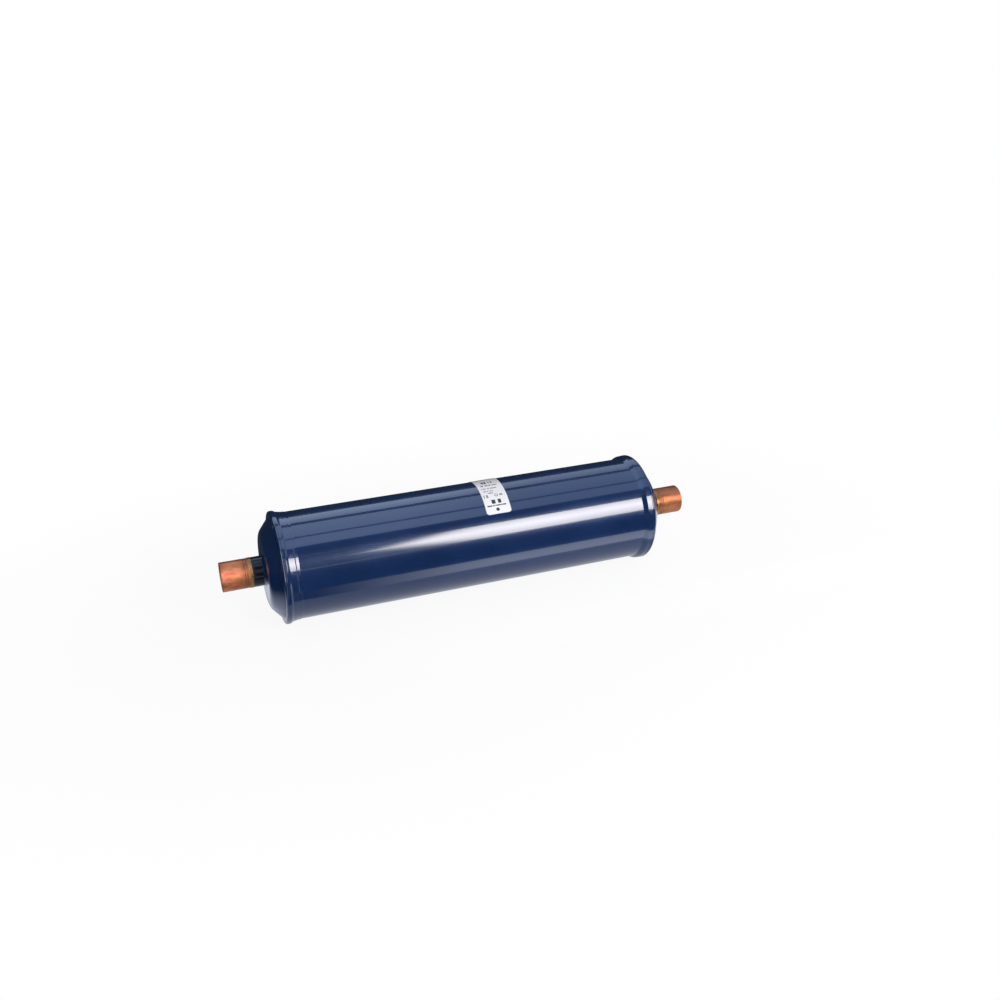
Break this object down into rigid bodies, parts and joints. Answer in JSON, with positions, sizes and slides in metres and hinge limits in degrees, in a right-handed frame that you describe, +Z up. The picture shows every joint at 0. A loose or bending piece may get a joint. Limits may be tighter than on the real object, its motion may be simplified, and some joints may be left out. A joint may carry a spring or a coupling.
{
  "type": "filter drier",
  "caption": "Welded steel refrigerant filter drier with flared ends, spring-loaded bead bed, moulded outlet filter and copper solder sockets.",
  "frame": {"origin": "centre of the inlet socket's mouth", "axes": "+X along the axis in the direction of flow, +Z up, toward the label's middle line"},
  "size_m": [0.4128, 0.0938, 0.0938],
  "materials": {
    "navy_paint": "gloss powder coat, dark blue",
    "copper": "bare drawn copper, lightly oxidised",
    "braze": "bare braze metal",
    "label_film": "white film with grey and black print",
    "spring_steel": "drawn wire",
    "plain_steel": "pressed sheet",
    "wire_mesh": "woven wire",
    "glass_fibre": "bonded glass fibre",
    "desiccant": "beads"
  },
  "bodies": {
    "root": {"shell": "navy_paint", "inlet_cap": "navy_paint", "outlet_cap": "navy_paint", "inlet_cap_weld": "navy_paint", "outlet_cap_weld": "navy_paint", "inlet_neck": "navy_paint", "outlet_neck": "navy_paint", "inlet_neck_weld": "navy_paint", "outlet_neck_weld": "navy_paint", "inlet_socket": "copper", "outlet_socket": "copper", "inlet_braze_ring": "braze", "outlet_braze_ring": "braze", "label": "label_film", "bed_spring": "spring_steel", "inlet_plate": "plain_steel", "inlet_screen": "wire_mesh", "inlet_pad": "glass_fibre", "desiccant_bed": "desiccant", "outlet_filter": "glass_fibre", "outlet_cage": "plain_steel", "outlet_screen": "wire_mesh", "outlet_plate": "plain_steel"}
  },
  "joints": []
}
